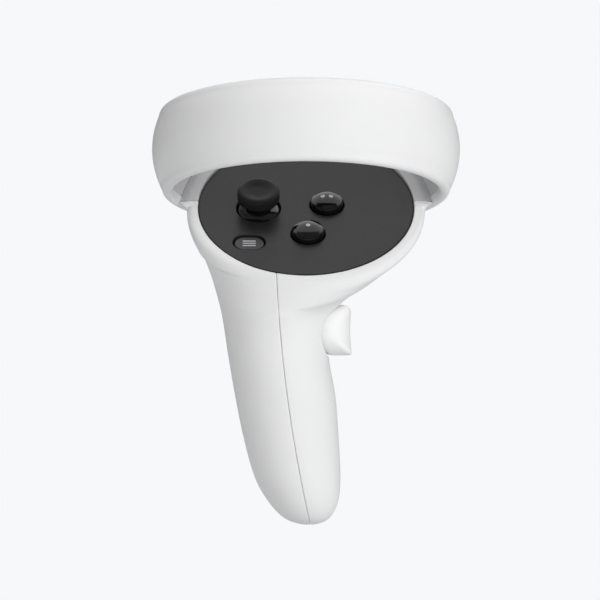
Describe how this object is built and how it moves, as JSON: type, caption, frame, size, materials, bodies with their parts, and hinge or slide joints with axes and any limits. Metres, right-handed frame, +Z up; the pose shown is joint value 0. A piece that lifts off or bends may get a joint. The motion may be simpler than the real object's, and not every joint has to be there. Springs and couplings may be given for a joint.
{
  "type": "vr motion controller",
  "caption": "Left-hand VR motion controller: curved grip handle, round tilted face with thumbstick and buttons, index trigger, grip button and hollow tracking ring.",
  "frame": {"origin": "on the handle's axis at the middle of the hand's grip, which is the hand_grip mount", "axes": "+Z up along the handle towards the ring, -Y towards the user, +X to the user's right"},
  "size_m": [0.09, 0.0888, 0.1305],
  "materials": {
    "shell": "fine matte moulded shell",
    "ring_inner": "satin inner band",
    "plate": "satin near-black face",
    "gloss_button": "polished black",
    "menu_button": "satin dark grey",
    "stick_rubber": "matte rubber",
    "stick_plastic": "polished black dome",
    "board": "solder-masked board",
    "flex": "amber flexible circuit",
    "lamp": "small clear lamp",
    "steel": "drawn wire and pins",
    "frame_plastic": "dark structural plastic",
    "dome_rubber": "silicone key domes",
    "cell": "plain printed jacket",
    "wire": "insulated leads"
  },
  "bodies": {
    "housing": {"main_housing": "shell", "face_plate": "plate", "lanyard_eyelet": "shell", "ring_outer_cover": "shell", "ring_inner_cover": "ring_inner", "led_flex_strip": "flex", "infrared_leds": "lamp", "button_board": "board", "button_screws": "steel", "main_board": "board", "radio_shield": "steel", "haptic_motor": "steel", "upper_dome": "dome_rubber", "lower_dome": "dome_rubber", "menu_dome": "dome_rubber", "stick_base": "frame_plastic", "stick_switch": "frame_plastic", "trigger_pin": "steel", "trigger_bracket": "frame_plastic", "trigger_spring": "steel", "trigger_sensor": "board", "grip_pin": "steel", "grip_bracket": "frame_plastic", "grip_spring": "steel", "grip_sensor": "board", "battery_cradle": "frame_plastic", "aa_battery": "cell", "spring_contact": "steel", "plate_contact": "steel", "battery_wires": "wire"},
    "upper_button": {"upper_button": "gloss_button"},
    "lower_button": {"lower_button": "gloss_button"},
    "menu_button": {"menu_button": "menu_button"},
    "stick_yoke": {"stick_yoke": "frame_plastic"},
    "stick_hub": {"stick_hub": "frame_plastic"},
    "thumbstick": {"stick_post": "steel", "stick_dome": "stick_plastic", "stick_cap": "stick_rubber"},
    "index_trigger": {"index_trigger": "shell", "trigger_magnet": "steel"},
    "grip_button": {"grip_button": "shell", "grip_magnet": "steel"},
    "battery_door": {"battery_door": "shell"}
  },
  "joints": [
    {"name": "stick_fore_aft", "type": "hinge", "parent": "housing", "child": "stick_yoke", "pos_m": [-0.0079, 0.01064, 0.0497], "axis": [1, 0, 0], "range_deg": [-14, 14], "stiffness_Nm_per_rad": 0.03},
    {"name": "stick_side", "type": "hinge", "parent": "stick_yoke", "child": "stick_hub", "pos_m": [-0.0079, 0.01064, 0.0497], "axis": [0, 0.7826, 0.6225], "range_deg": [-14, 14], "stiffness_Nm_per_rad": 0.03},
    {"name": "stick_click", "type": "slide", "parent": "stick_hub", "child": "thumbstick", "axis": [0, 0.6225, -0.7826], "range_m": [0, 0.0005], "stiffness_N_per_m": 1500, "springref_m": -0.0005},
    {"name": "upper_press", "type": "slide", "parent": "housing", "child": "upper_button", "axis": [0, 0.6225, -0.7826], "range_m": [0, 0.001], "stiffness_N_per_m": 600, "springref_m": -0.0006, "deforming": ["upper_dome"]},
    {"name": "lower_press", "type": "slide", "parent": "housing", "child": "lower_button", "axis": [0, 0.6225, -0.7826], "range_m": [0, 0.001], "stiffness_N_per_m": 600, "springref_m": -0.0006, "deforming": ["lower_dome"]},
    {"name": "menu_press", "type": "slide", "parent": "housing", "child": "menu_button", "axis": [0, 0.6225, -0.7826], "range_m": [0, 0.0005], "stiffness_N_per_m": 800, "springref_m": -0.0006, "deforming": ["menu_dome"]},
    {"name": "trigger_pull", "type": "hinge", "parent": "housing", "child": "index_trigger", "pos_m": [0.004, 0.02, 0.0425], "axis": [-1, 0, 0], "range_deg": [0, 16], "stiffness_Nm_per_rad": 0.06, "springref_deg": -14.32, "deforming": ["trigger_spring"]},
    {"name": "grip_squeeze", "type": "hinge", "parent": "housing", "child": "grip_button", "pos_m": [0.0052, 0.0096, 0.0182], "axis": [0, 0, -1], "range_deg": [0, 7.5], "stiffness_Nm_per_rad": 0.08, "springref_deg": -14.32, "deforming": ["grip_spring"]},
    {"name": "door_slide", "type": "slide", "parent": "housing", "child": "battery_door", "axis": [0, 0, -1], "range_m": [0, 0.084]}
  ]
}
